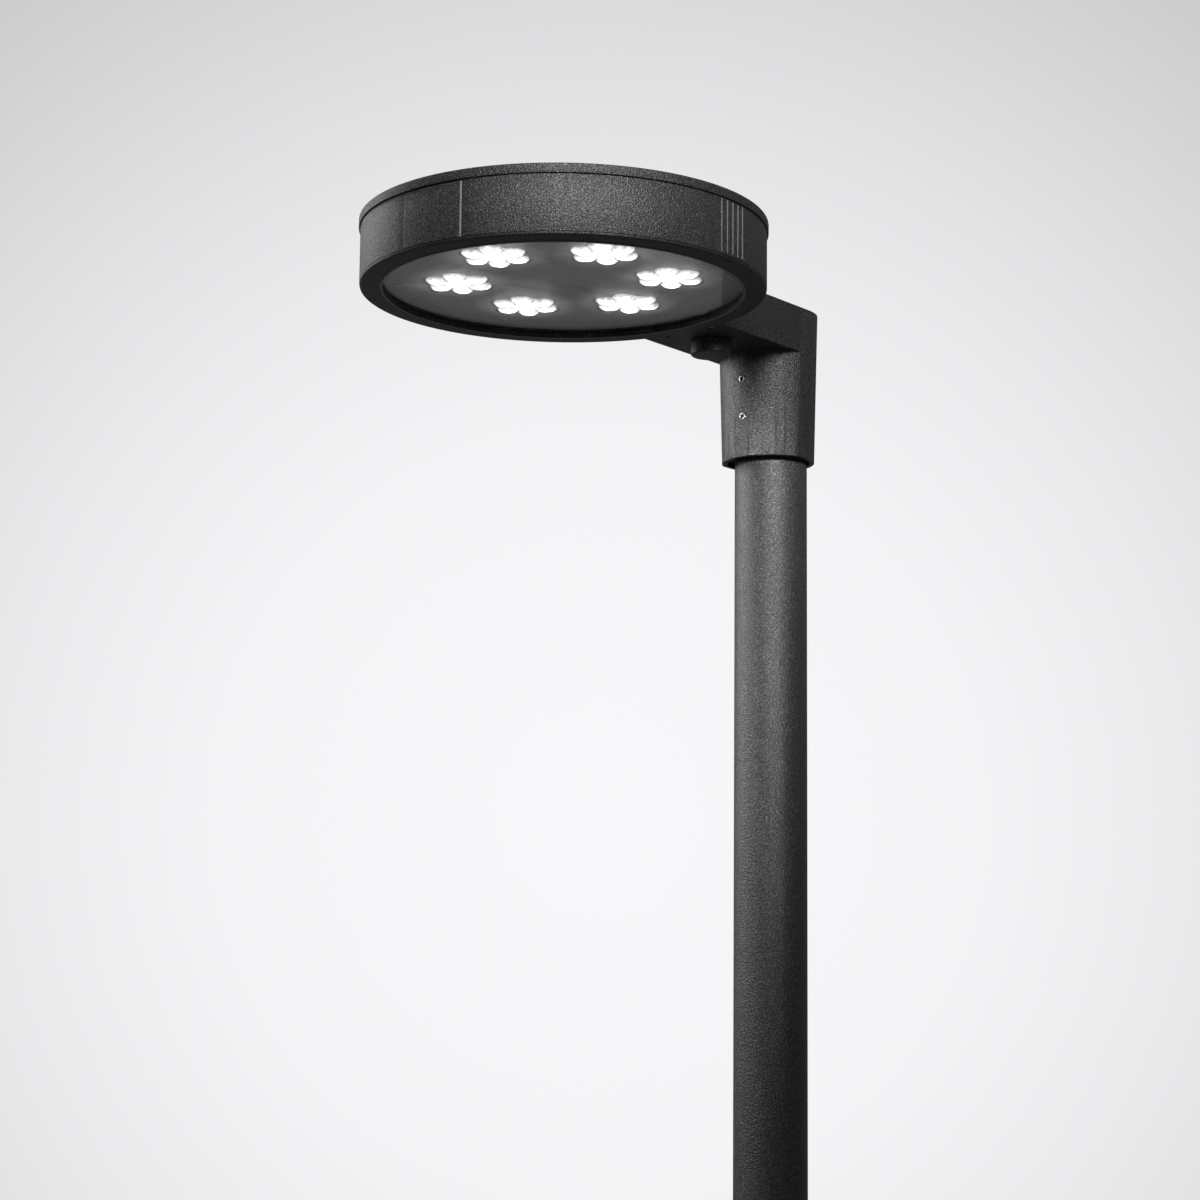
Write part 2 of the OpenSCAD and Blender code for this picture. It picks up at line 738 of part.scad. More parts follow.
base_plate();
post_tube();
door_bridges();
mounting_rail();
rail_studs();
earth_stud();
fuse_box();
fuse_base();
fuse_box_lid();
box_glands();
riser_cable();
riser_socket();
door_panel();
door_gasket();
door_bolt_upper();
door_bolt_lower();
fuse_carrier();
fuse_cartridge();
bracket();
grub_screws();
bracket_bolts();
lead_plug();
luminaire_lead();
lead_grommet();
sensor_socket();
socket_cap();
socket_cap_seal();
housing_body();
top_cover();
top_cover_gasket();
top_cover_screws();
heat_spreader();
led_boards();
led_chips();
lens_clusters();
reflector_plate();
reflector_screws();
led_driver();
driver_screws();
surge_protector();
terminal_block();
head_wiring();
frame_gasket();
hinge_pins();
latch_panel();
latch_springs();
glass_frame();
glass_disc();
glass_seal();
glass_clips();
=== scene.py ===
import json
import math

import bmesh
import bpy
from mathutils import Matrix, Vector

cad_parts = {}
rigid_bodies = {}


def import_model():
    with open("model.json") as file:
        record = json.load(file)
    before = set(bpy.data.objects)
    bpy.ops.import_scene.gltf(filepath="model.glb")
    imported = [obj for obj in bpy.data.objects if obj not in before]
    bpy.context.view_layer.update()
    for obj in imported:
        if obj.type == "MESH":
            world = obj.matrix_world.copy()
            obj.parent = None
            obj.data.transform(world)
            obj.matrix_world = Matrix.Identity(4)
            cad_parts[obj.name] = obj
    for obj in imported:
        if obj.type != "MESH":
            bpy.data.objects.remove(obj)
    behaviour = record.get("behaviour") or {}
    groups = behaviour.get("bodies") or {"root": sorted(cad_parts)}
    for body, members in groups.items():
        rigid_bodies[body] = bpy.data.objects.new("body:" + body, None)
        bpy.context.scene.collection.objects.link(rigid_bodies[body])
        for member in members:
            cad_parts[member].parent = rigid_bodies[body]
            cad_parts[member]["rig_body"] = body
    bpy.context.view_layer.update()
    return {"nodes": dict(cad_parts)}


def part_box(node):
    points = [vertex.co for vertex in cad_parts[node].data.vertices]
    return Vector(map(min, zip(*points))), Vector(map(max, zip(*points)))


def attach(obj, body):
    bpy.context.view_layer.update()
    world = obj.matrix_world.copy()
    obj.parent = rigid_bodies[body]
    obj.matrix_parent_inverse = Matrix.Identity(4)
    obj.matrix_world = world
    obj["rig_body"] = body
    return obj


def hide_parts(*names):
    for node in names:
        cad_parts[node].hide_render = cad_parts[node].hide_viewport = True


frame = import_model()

scene = bpy.context.scene
D = math.radians
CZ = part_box("bracket")[0].z            # the collar's lower rim
_blo, _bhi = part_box("glass_disc")
HEAD_Y = (_blo.y + _bhi.y) / 2         # the head's axis


# ---------------------------------------------------------------- camera
def make_camera():
    yaw, pitch, roll = D(37.620), D(8.714), D(0.593)
    right = Vector((math.cos(yaw), math.sin(yaw), 0))
    ahead = Vector((-math.sin(yaw), math.cos(yaw), 0))
    up0 = Vector((0, 0, 1))
    fwd = ahead * math.cos(pitch) + up0 * math.sin(pitch)
    u = up0 * math.cos(pitch) - ahead * math.sin(pitch)
    r = right * math.cos(roll) + u * math.sin(roll)
    u2 = u * math.cos(roll) - right * math.sin(roll)
    cam = bpy.data.objects.new("camera", bpy.data.cameras.new("camera"))
    scene.collection.objects.link(cam)
    cam.data.sensor_width = 36.0
    cam.data.lens = 36.0 * 2661.161 / 1200.0
    cam.data.clip_start, cam.data.clip_end = 0.05, 200.0
    cam.data.dof.use_dof = False
    m = Matrix((r, u2, -fwd)).transposed().to_4x4()
    m.translation = Vector((1.542069, -2.294231, CZ - 0.569698))
    cam.matrix_world = m
    scene.camera = cam
    return cam, right, ahead


camera, CAM_RIGHT, CAM_AHEAD = make_camera()
TO_CAM = -CAM_AHEAD                    # level direction from the lamp to the camera


# ---------------------------------------------------------------- node helpers
class Mat:
    """A Principled material with its nodes in object coordinates, which are metres in the row frame."""

    def __init__(self, name, rough=0.5, metallic=0.0, ior=1.5):
        self.m = bpy.data.materials.new(name)
        self.m.use_nodes = True
        self.nt = self.m.node_tree
        self.bsdf = self.nt.nodes["Principled BSDF"]
        self.bsdf.inputs["Roughness"].default_value = rough
        self.bsdf.inputs["Metallic"].default_value = metallic
        self.bsdf.inputs["IOR"].default_value = ior
        self.co = self.nt.nodes.new("ShaderNodeTexCoord").outputs["Object"]

    def new(self, kind, **props):
        n = self.nt.nodes.new(kind)
        for k, v in props.items():
            setattr(n, k, v)
        return n

    def link(self, a, b):
        self.nt.links.new(a, b)

    def scaled(self, x, y, z):
        n = self.new("ShaderNodeMapping")
        n.inputs["Scale"].default_value = (x, y, z)
        self.link(self.co, n.inputs["Vector"])
        return n.outputs["Vector"]

    def noise(self, scale, detail=3.0, rough=0.55, vector=None, distortion=0.0):
        n = self.new("ShaderNodeTexNoise")
        n.inputs["Scale"].default_value = scale
        n.inputs["Detail"].default_value = detail
        n.inputs["Roughness"].default_value = rough
        n.inputs["Distortion"].default_value = distortion
        self.link(vector or self.co, n.inputs["Vector"])
        return n.outputs["Fac"]

    def map(self, value, a, b, lo=0.3, hi=0.7, smooth=False):
        n = self.new("ShaderNodeMapRange")
        if smooth:
            n.interpolation_type = "SMOOTHSTEP"
        n.inputs["From Min"].default_value = lo
        n.inputs["From Max"].default_value = hi
        n.inputs["To Min"].default_value = a
        n.inputs["To Max"].default_value = b
        self.link(value, n.inputs["Value"])
        return n.outputs["Result"]

    def mix(self, fac, a, b):
        n = self.new("ShaderNodeMix", data_type="RGBA")
        for sock, v in ((n.inputs[6], a), (n.inputs[7], b)):
            if isinstance(v, (tuple, list)):
                sock.default_value = (*v[:3], 1.0)
            else:
                self.link(v, sock)
        if isinstance(fac, (int, float)):
            n.inputs[0].default_value = fac
        else:
            self.link(fac, n.inputs[0])
        return n.outputs[2]

    def base(self, colour):
        self.link(colour, self.bsdf.inputs["Base Color"])

    def rough(self, value):
        self.link(value, self.bsdf.inputs["Roughness"])

    def bump(self, *layers):
        """layers are (height socket, distance in metres, strength)."""
        normal = None
        for height, distance, strength in layers:
            n = self.new("ShaderNodeBump")
            n.inputs["Strength"].default_value = strength
            n.inputs["Distance"].default_value = distance
            self.link(height, n.inputs["Height"])
            if normal is not None:
                self.link(normal, n.inputs["Normal"])
            normal = n.outputs["Normal"]
        self.link(normal, self.bsdf.inputs["Normal"])


def tint(c, k):
    return tuple(x * k for x in c)


def powder(name, colour, rough=0.44, grain=1.0, painted_edge_highlight=None):
    """Fine-textured powder coat: small leathery bumps, a few paler flakes, slow drift in gloss, and an optional
    painted highlight along chosen edges.
    """
    m = Mat(name, rough)
    fine = m.noise(1150.0, 2.0, 0.5)
    coarse = m.noise(620.0, 2.0, 0.5)
    flake = m.noise(820.0, 0.0, 0.5)
    drift = m.noise(7.0, 3.0, 0.5)
    body = m.mix(m.map(drift, 0.0, 1.0), tint(colour, 0.93), tint(colour, 1.07))
    body = m.mix(m.map(fine, 0.0, 0.8, 0.35, 0.7), body, tint(colour, 0.35))
    body = m.mix(m.map(flake, 0.0, 0.9, 0.58, 0.76), body, tint(colour, 3.6))
    if painted_edge_highlight is not None:
        # painted highlight where light catches rib tops, panel edges and lips: painted_edge_highlight is a point
        # on the axis and the distances where it starts and is full
        centre, start, full = painted_edge_highlight[:3]
        flat = m.new("ShaderNodeVectorMath", operation="MULTIPLY")
        m.link(m.co, flat.inputs[0])
        flat.inputs[1].default_value = (1, 1, 0)
        away = m.new("ShaderNodeVectorMath", operation="DISTANCE")
        m.link(flat.outputs[0], away.inputs[0])
        away.inputs[1].default_value = (centre[0], centre[1], 0)
        amount = m.map(away.outputs["Value"], 0.0, 1.0, start, full, smooth=True)
        if len(painted_edge_highlight) > 3:
            height = m.new("ShaderNodeSeparateXYZ")
            m.link(m.co, height.inputs["Vector"])
            both = m.new("ShaderNodeMath", operation="MULTIPLY")
            m.link(amount, both.inputs[0])
            m.link(m.map(height.outputs["Z"], 1.0, 0.0, painted_edge_highlight[3], painted_edge_highlight[4]), both.inputs[1])
            amount = both.outputs[0]
        # the paler grey mixed in here is the painted highlight
        body = m.mix(amount, body, (0.17, 0.168, 0.168))
    m.base(body)
    gloss = m.map(m.noise(11.0, 4.0, 0.6), rough - 0.035, rough + 0.045)
    speck = m.new("ShaderNodeMath", operation="ADD")
    m.link(gloss, speck.inputs[0])
    m.link(m.map(m.noise(1000.0, 1.0, 0.5), -0.10, 0.10, 0.38, 0.62), speck.inputs[1])
    m.rough(speck.outputs[0])
    # upward faces are chalkier than walls
    facing = m.new("ShaderNodeSeparateXYZ")
    m.link(m.new("ShaderNodeTexCoord").outputs["Normal"], facing.inputs["Vector"])
    chalk = m.new("ShaderNodeMath", operation="MULTIPLY")
    m.link(m.map(flake, 0.34, 0.80, 0.32, 0.68), chalk.inputs[0])
    m.link(m.map(facing.outputs["Z"], 1.0, 0.004, 0.55, 0.90, smooth=True), chalk.inputs[1])
    m.link(chalk.outputs[0], m.bsdf.inputs["Specular IOR Level"])
    m.bump((coarse, 0.00075 * grain, 1.0), (fine, 0.00030 * grain, 0.7))
    return m.m


def plastic(name, colour, rough=0.45, texture=0.5, drift=0.08):
    m = Mat(name, rough)
    m.base(m.mix(m.map(m.noise(38.0, 4.0, 0.6), 0.0, 1.0), tint(colour, 1 - drift), tint(colour, 1 + drift)))
    m.rough(m.map(m.noise(60.0, 3.0, 0.55), rough - 0.06, rough + 0.07))
    m.bump((m.noise(1100.0, 2.0, 0.5), 0.00016 * texture, 0.5))
    return m.m


def rubber(name, colour=(0.012, 0.012, 0.012)):
    m = Mat(name, 0.75)
    m.base(m.mix(m.map(m.noise(55.0, 4.0, 0.6), 0.0, 1.0), colour, tint(colour, 1.9)))
    m.rough(m.map(m.noise(90.0, 3.0, 0.6), 0.68, 0.86))
    m.bump((m.noise(900.0, 3.0, 0.6), 0.0002, 0.5))
    return m.m


def metal(name, colour, rough=0.3, stretch=(1, 1, 14), scale=160.0, drift=0.1):
    m = Mat(name, rough, 1.0)
    lines = m.noise(scale, 3.0, 0.6, m.scaled(*stretch))
    m.base(m.mix(m.map(m.noise(45.0, 4.0, 0.6), 0.0, 1.0), tint(colour, 1 - drift), tint(colour, 1 + drift * 0.5)))
    m.rough(m.map(lines, rough - 0.08, rough + 0.10))
    m.bump((lines, 0.00005, 0.4))
    return m.m


def galvanised(name):
    m = Mat(name, 0.42, 1.0)
    cell = m.new("ShaderNodeTexVoronoi", feature="F1")
    cell.inputs["Scale"].default_value = 170.0
    m.link(m.co, cell.inputs["Vector"])
    grey = m.new("ShaderNodeRGBToBW")
    m.link(cell.outputs["Color"], grey.inputs["Color"])
    m.base(m.mix(m.map(grey.outputs["Val"], 0.0, 1.0, 0.1, 0.9), (0.42, 0.43, 0.44), (0.62, 0.63, 0.64)))
    m.rough(m.map(grey.outputs["Val"], 0.34, 0.52, 0.1, 0.9))
    m.bump((m.noise(300.0, 3.0, 0.6), 0.00008, 0.4))
    return m.m


def board(name):
    """White solder mask with faint copper pours under it."""
    m = Mat(name, 0.38)
    brick = m.new("ShaderNodeTexBrick")
    brick.inputs["Scale"].default_value = 55.0
    brick.inputs["Color1"].default_value = (0.80, 0.80, 0.77, 1)
    brick.inputs["Color2"].default_value = (0.76, 0.76, 0.73, 1)
    brick.inputs["Mortar"].default_value = (0.66, 0.66, 0.62, 1)
    brick.inputs["Mortar Size"].default_value = 0.02
    m.link(m.co, brick.inputs["Vector"])
    m.base(brick.outputs["Color"])
    m.bump((brick.outputs["Fac"], 0.00005, 0.4))
    return m.m


def glowing(name, colour, top, low, z0, z1, patches=0.25):
    """Lit lens or chip: brightest at its tip, duller towards its foot, with small facets."""
    m = Mat(name, 0.18)
    m.base(m.mix(m.map(m.noise(260.0, 2.0, 0.5), 0.0, 1.0), tint(colour, 0.86), colour))
    m.bsdf.inputs["Emission Color"].default_value = (1.0, 0.99, 0.975, 1.0)
    xyz = m.new("ShaderNodeSeparateXYZ")
    m.link(m.co, xyz.inputs["Vector"])
    height = m.map(xyz.outputs["Z"], top, low, z0, z1, smooth=True)
    spots = m.map(m.noise(180.0, 2.0, 0.5), 1.0 - patches, 1.0 + patches, 0.35, 0.65)
    mul = m.new("ShaderNodeMath", operation="MULTIPLY")
    m.link(height, mul.inputs[0])
    m.link(spots, mul.inputs[1])
    m.link(mul.outputs[0], m.bsdf.inputs["Emission Strength"])
    return m.m


def shaded_lens_cup(name):
    """Moulded wall of a lens, drawn as a mostly see-through sheet of dark grey: painted shade for the dark rims a
    clear acrylic wall shows.
    """
    m = Mat(name, 0.07)
    m.base(m.mix(m.map(m.noise(150.0, 2.0, 0.5), 0.0, 1.0), (0.05, 0.052, 0.055), (0.11, 0.112, 0.116)))
    m.bsdf.inputs["Alpha"].default_value = 0.24
    m.bump((m.noise(240.0, 2.0, 0.5), 0.0002, 0.4))
    return m.m


def glass(name):
    m = Mat(name, 0.0, ior=1.5)
    m.bsdf.inputs["Transmission Weight"].default_value = 1.0
    m.base(m.mix(m.map(m.noise(22.0, 4.0, 0.6), 0.0, 1.0), (0.955, 0.970, 0.965), (0.985, 0.990, 0.988)))
    return m.m


def reflector(name):
    m = Mat(name, 0.45, 0.55)
    lines = m.noise(90.0, 3.0, 0.6, m.scaled(1.0, 9.0, 1.0))
    m.base(m.mix(m.map(m.noise(9.0, 4.0, 0.6), 0.0, 1.0), (0.105, 0.105, 0.107), (0.135, 0.135, 0.138)))
    m.rough(m.map(lines, 0.38, 0.56))
    m.bump((m.noise(800.0, 2.0, 0.5), 0.00008, 0.35))
    near = None
    for k in range(6):
        a = D(90 + 60 * k)
        d = m.new("ShaderNodeVectorMath", operation="DISTANCE")
        m.link(m.co, d.inputs[0])
        d.inputs[1].default_value = (0.102 * math.cos(a), HEAD_Y + 0.102 * math.sin(a), CZ + 0.124)
        if near is None:
            near = d.outputs["Value"]
        else:
            least = m.new("ShaderNodeMath", operation="MINIMUM")
            m.link(near, least.inputs[0])
            m.link(d.outputs["Value"], least.inputs[1])
            near = least.outputs[0]
    # painted glow: emission on the plate round each lens cluster, a pool of light standing in for what the lenses
    # throw on it
    painted_lens_glow = m.new("ShaderNodeMath", operation="MULTIPLY")
    m.link(m.map(near, 0.10, 0.0, 0.030, 0.058, smooth=True), painted_lens_glow.inputs[0])
    m.link(m.map(m.noise(30.0, 2.0, 0.5), 0.6, 1.4, 0.35, 0.65), painted_lens_glow.inputs[1])
    m.bsdf.inputs["Emission Color"].default_value = (1.0, 1.0, 1.0, 1.0)
    m.link(painted_lens_glow.outputs[0], m.bsdf.inputs["Emission Strength"])
    return m.m


PAINT = (0.0205, 0.0199, 0.0201)
M = {
    "post_paint": powder("post_paint", PAINT, 0.42),
    "casting_paint": powder("casting_paint", PAINT, 0.45),
    "frame_paint": powder("frame_paint", (0.0085, 0.0082, 0.0083), 0.50, 0.6),
    "zinc_steel": galvanised("zinc_steel"),
    "stainless": metal("stainless", (0.40, 0.395, 0.39), 0.27),
    "earth_brass": metal("earth_brass", (0.70, 0.50, 0.20), 0.30),
    "black_rubber": rubber("black_rubber"),
    "cable_jacket": plastic("cable_jacket", (0.016, 0.016, 0.017), 0.52, 0.8),
    "wire_insulation": plastic("wire_insulation", (0.035, 0.085, 0.24), 0.40, 0.3),
    "dark_plastic": plastic("dark_plastic", (0.030, 0.030, 0.032), 0.48, 1.0),
    "cap_plastic": powder("cap_plastic", (0.026, 0.0255, 0.026), 0.46, 0.7),
    "box_plastic": plastic("box_plastic", (0.16, 0.17, 0.19), 0.50, 1.0),
    "lid_plastic": plastic("lid_plastic", (0.50, 0.51, 0.53), 0.42, 1.0, 0.04),
    "terminal_plastic": plastic("terminal_plastic", (0.70, 0.69, 0.65), 0.40, 0.6, 0.04),
    "surge_plastic": plastic("surge_plastic", (0.075, 0.085, 0.11), 0.45, 0.8),
    "driver_case": metal("driver_case", (0.72, 0.72, 0.73), 0.38, (1, 14, 1)),
    "fuse_ceramic": plastic("fuse_ceramic", (0.80, 0.79, 0.75), 0.25, 0.3, 0.03),
    "spreader_aluminium": metal("spreader_aluminium", (0.74, 0.75, 0.76), 0.36, (1, 10, 1)),
    "reflector_grey": reflector("reflector_grey"),
    "board_white": board("board_white"),
    "led_phosphor": glowing("led_phosphor", (0.85, 0.75, 0.35), 3.0, 2.0, CZ + 0.127, CZ + 0.129),
    "lens_acrylic": glowing("lens_acrylic", (0.80, 0.81, 0.82), 3.6, 0.85, CZ + 0.1203, CZ + 0.1242, 0.45),
    "clear_glass": glass("clear_glass"),
}
SLOT = {}
for _s, _ns in {
    "post_paint": "base_plate post_tube door_panel",
    "casting_paint": "bracket housing_body top_cover latch_panel",
    "frame_paint": "glass_frame",
    "zinc_steel": "door_bridges mounting_rail rail_studs hinge_pins glass_clips latch_springs",
    "stainless": "door_bolt_upper door_bolt_lower grub_screws bracket_bolts top_cover_screws reflector_screws driver_screws",
    "earth_brass": "earth_stud",
    "black_rubber": "door_gasket lead_grommet socket_cap_seal top_cover_gasket frame_gasket glass_seal",
    "cable_jacket": "riser_cable luminaire_lead",
    "wire_insulation": "head_wiring",
    "dark_plastic": "box_glands riser_socket lead_plug sensor_socket fuse_carrier",
    "cap_plastic": "socket_cap",
    "box_plastic": "fuse_box",
    "lid_plastic": "fuse_box_lid",
    "terminal_plastic": "terminal_block fuse_base",
    "surge_plastic": "surge_protector",
    "driver_case": "led_driver",
    "fuse_ceramic": "fuse_cartridge",
    "spreader_aluminium": "heat_spreader",
    "reflector_grey": "reflector_plate",
    "board_white": "led_boards",
    "led_phosphor": "led_chips",
    "lens_acrylic": "lens_clusters",
    "clear_glass": "glass_disc",
}.items():
    for _n in _ns.split():
        SLOT[_n] = _s


# ---------------------------------------------------------------- mesh helpers
def body_of(node):
    return frame["nodes"][node]["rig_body"]


def finish_mesh(bm, name, material, sharp=32.0):
    bmesh.ops.recalc_face_normals(bm, faces=bm.faces)
    for f in bm.faces:
        f.smooth = True
    for e in bm.edges:
        e.smooth = len(e.link_faces) == 2 and e.calc_face_angle(0.0) < D(sharp)
    me = bpy.data.meshes.new(name)
    bm.to_mesh(me)
    bm.free()
    me.materials.append(material)
    o = bpy.data.objects.new(name, me)
    scene.collection.objects.link(o)
    return o


def stand_in(o, node):
    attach(o, body_of(node))
    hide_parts(node)
    return o


def soften(node, width, segs=2, angle=28.0, pick=None, sharp=32.0):
    """The node's own shape with rounded edges and clean shading."""
    bm = bmesh.new()
    bm.from_mesh(frame["nodes"][node].data)
    bmesh.ops.remove_doubles(bm, verts=bm.verts, dist=3e-6)
    bmesh.ops.dissolve_limit(bm, angle_limit=D(0.5), use_dissolve_boundaries=False,
                             verts=bm.verts, edges=bm.edges)
    edges = [e for e in bm.edges if len(e.link_faces) == 2
             and e.calc_face_angle(0.0) > D(angle) and (pick is None or pick(e))]
    bmesh.ops.bevel(bm, geom=edges, offset=width, offset_type="OFFSET", segments=segs,
                    profile=0.5, affect="EDGES", clamp_overlap=True)
    bmesh.ops.remove_doubles(bm, verts=bm.verts, dist=1e-6)
    return stand_in(finish_mesh(bm, "shaped_" + node, M[SLOT[node]], sharp), node)


def lathe(bm, profile, centre=(0, 0), n=256, closed=True):
    """Turns a profile of (radius, z) about a vertical axis into a closed skin."""
    rings = []
    for r, z in profile:
        if r < 1e-7:
            rings.append([bm.verts.new((centre[0], centre[1], z))])
        else:
            rings.append([bm.verts.new((centre[0] + r * math.cos(2 * math.pi * i / n),
                                        centre[1] + r * math.sin(2 * math.pi * i / n), z))
                          for i in range(n)])
    pairs = list(zip(rings, rings[1:] + rings[:1])) if closed else list(zip(rings, rings[1:]))
    for a, b in pairs:
        if len(a) == 1 and len(b) == 1:
            continue
        for i in range(n):
            j = (i + 1) % n
            if len(a) == 1:
                bm.faces.new((a[0], b[j], b[i]))
            elif len(b) == 1:
                bm.faces.new((a[i], a[j], b[0]))
            else:
                bm.faces.new((a[i], a[j], b[j], b[i]))


def arc(cx, cz, r, a0, a1, n=6):
    return [(cx + r * math.cos(D(a0 + (a1 - a0) * i / n)), cz + r * math.sin(D(a0 + (a1 - a0) * i / n)))
            for i in range(n + 1)]


# ---------------------------------------------------------------- pieces
def make_lenses():
    """Six flower-shaped lens units: a carrier, a lit hub, six lit petals and their pointed cups, whose dark grey
    is painted shade.
    """
    ring_r, petal_ring, petal_r = 0.102, 0.0215, 0.0115
    z_plate = CZ + 0.124
    z_tip = z_plate - 0.0044
    bm = bmesh.new()

    def petal(x, y, b, profile, n, reach, closed):
        """Lathed about the petal's own centre, then drawn out to a point away from the cluster's centre."""
        first = len(bm.verts)
        lathe(bm, profile, (x, y), n, closed=closed)
        bm.verts.ensure_lookup_table()
        out = Vector((math.cos(b), math.sin(b)))
        for v in bm.verts[first:]:
            if v.co.z > z_plate - 0.0001:
                continue
            d = Vector((v.co.x - x, v.co.y - y))
            if d.length < 1e-6:
                continue
            k = max(0.0, d.normalized().dot(out))
            v.co.x += d.x * reach * k ** 4
            v.co.y += d.y * reach * k ** 4

    for k in range(6):
        a = D(90 + 60 * k)
        cx, cy = ring_r * math.cos(a), HEAD_Y + ring_r * math.sin(a)
        # carrier behind the plate
        lathe(bm, [(0.0, z_plate + 0.00125), (0.034, z_plate + 0.00125), (0.034, z_plate + 0.0041),
                   (0.032, z_plate + 0.0041), (0.032, z_plate + 0.0033), (0.0, z_plate + 0.0033)],
              (cx, cy), 72, closed=False)
        # hub that joins the petals and ends in the centre lens
        lathe(bm, [(0.0, z_plate + 0.00125), (0.0156, z_plate + 0.00125), (0.0156, z_plate - 0.0005),
                   (0.0148, z_plate - 0.0012), (0.0128, z_plate - 0.0019), (0.0104, z_plate - 0.0024),
                   (0.0088, z_plate - 0.0030), (0.0074, z_plate - 0.0037), (0.0054, z_tip + 0.0003),
                   (0.0028, z_tip + 0.00005), (0.0, z_tip)], (cx, cy), 56, closed=False)
        for j in range(6):
            b = a + D(60 * j + 30)
            x, y = cx + petal_ring * math.cos(b), cy + petal_ring * math.sin(b)
            r = petal_r - 0.0001
            c = r * 0.945
            core = [(0.0, z_plate + 0.0012), (c, z_plate + 0.0012), (c, z_plate), (c * 0.985, z_plate - 0.0006),
                    (c * 0.93, z_plate - 0.0014), (c * 0.84, z_plate - 0.0022), (c * 0.72, z_plate - 0.0029),
                    (c * 0.58, z_plate - 0.0034), (c * 0.42, z_plate - 0.0038), (c * 0.22, z_plate - 0.0040),
                    (0.0, z_plate - 0.0041)]
            petal(x, y, b, core, 40, 0.10, False)
            lit = len(bm.faces)
            cup = [(r, z_plate + 0.00115), (r, z_plate - 0.0002), (r * 1.03, z_plate - 0.0008),
                   (r * 1.01, z_plate - 0.0015), (r * 0.95, z_plate - 0.0022), (r * 0.85, z_plate - 0.0031),
                   (r * 0.76, z_tip + 0.0002), (r * 0.72, z_tip)]
            cup += [(r * 0.70, z_tip + 0.0003), (r * 0.79, z_plate - 0.0031), (r * 0.90, z_plate - 0.0022),
                    (r * 0.955, z_plate - 0.0014), (r * 0.96, z_plate - 0.0007), (r * 0.945, z_plate - 0.0001),
                    (r * 0.945, z_plate + 0.00115)]
            petal(x, y, b, cup, 40, 0.30, True)
            bm.faces.ensure_lookup_table()
            for f in bm.faces[lit:]:
                f.material_index = 1
    bmesh.ops.remove_doubles(bm, verts=bm.verts, dist=1e-7)
    o = finish_mesh(bm, "flower_lenses", M["lens_acrylic"], 50.0)
    o.data.materials.append(shaded_lens_cup("lens_cup"))
    return stand_in(o, "lens_clusters")


def make_cover():
    """Profile of the domed cover with a rounded shoulder; the wells for the four screws are cut in rounded_cover.
    """
    lo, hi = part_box("top_cover")
    R = (hi.x - lo.x) / 2
    z_cb, z_ct, z_cu = CZ + 0.1641, CZ + 0.1734, CZ + 0.1704
    dome = 0.006
    e = 0.0016
    prof = [(0.1936 + 0.0004, z_cb), (R - 0.0005, z_cb)] + arc(R - 0.0005, z_cb + 0.0005, 0.0005, -90, 0, 3)[1:]
    prof += arc(R - e, z_ct - e, e, 0, 80, 8)
    ro = R - 0.001
    n = 22
    top = []
    for i in range(n, -1, -1):
        r = (ro - 0.002) * i / n
        top.append((r, z_ct + dome * (1 - (r / ro) ** 2)))
    prof += top
    under = []
    for i in range(0, n + 1):
        r = 0.170 * i / n
        under.append((r, z_cu + (dome - 0.0006) * (1 - (r / 0.170) ** 2)))
    prof += under + [(0.1936, z_cu), (0.1936, z_cb + 0.0004)]
    return prof


def rounded_cover():
    prof = make_cover()
    bm = bmesh.new()
    # the profile is closed at the axis on both sides, so it is turned as an open strip and joined at its foot
    k = [i for i, p in enumerate(prof) if p[0] < 1e-7]
    outer = prof[:k[0] + 1]
    inner = prof[k[1]:]
    lathe(bm, outer, (0, HEAD_Y), 288, closed=False)
    lathe(bm, inner, (0, HEAD_Y), 288, closed=False)
    bm.verts.ensure_lookup_table()
    bmesh.ops.remove_doubles(bm, verts=bm.verts, dist=1e-7)
    ends = [e for e in bm.edges if e.is_boundary]
    bmesh.ops.bridge_loops(bm, edges=ends)
    o = finish_mesh(bm, "cover_shell", M["casting_paint"], 40.0)
    # wells round the four screws
    cut = bmesh.new()
    for q in range(4):
        a = D(45 + 90 * q)
        c = (0.178 * math.cos(a), HEAD_Y + 0.178 * math.sin(a))
        lathe(cut, [(0.0, CZ + 0.165), (0.0026, CZ + 0.165), (0.0026, CZ + 0.1728), (0.0050, CZ + 0.1728),
                    (0.0054, CZ + 0.1752), (0.0062, CZ + 0.1800), (0.0, CZ + 0.1800)], c, 48, closed=False)
    tool = finish_mesh(cut, "cover_wells", M["casting_paint"])
    mod = o.modifiers.new("wells", "BOOLEAN")
    mod.operation = "DIFFERENCE"
    mod.solver = "EXACT"
    mod.object = tool
    bpy.context.view_layer.update()
    me = bpy.data.meshes.new_from_object(o.evaluated_get(bpy.context.evaluated_depsgraph_get()))
    o.modifiers.clear()
    o.data = me
    bpy.data.objects.remove(tool)
    bm = bmesh.new()
    bm.from_mesh(me)
    for f in bm.faces:
        f.smooth = True
    for e in bm.edges:
        e.smooth = len(e.link_faces) == 2 and e.calc_face_angle(0.0) < D(30)
    bm.to_mesh(me)
    bm.free()
    if not me.materials:
        me.materials.append(M["casting_paint"])
    return stand_in(o, "top_cover")


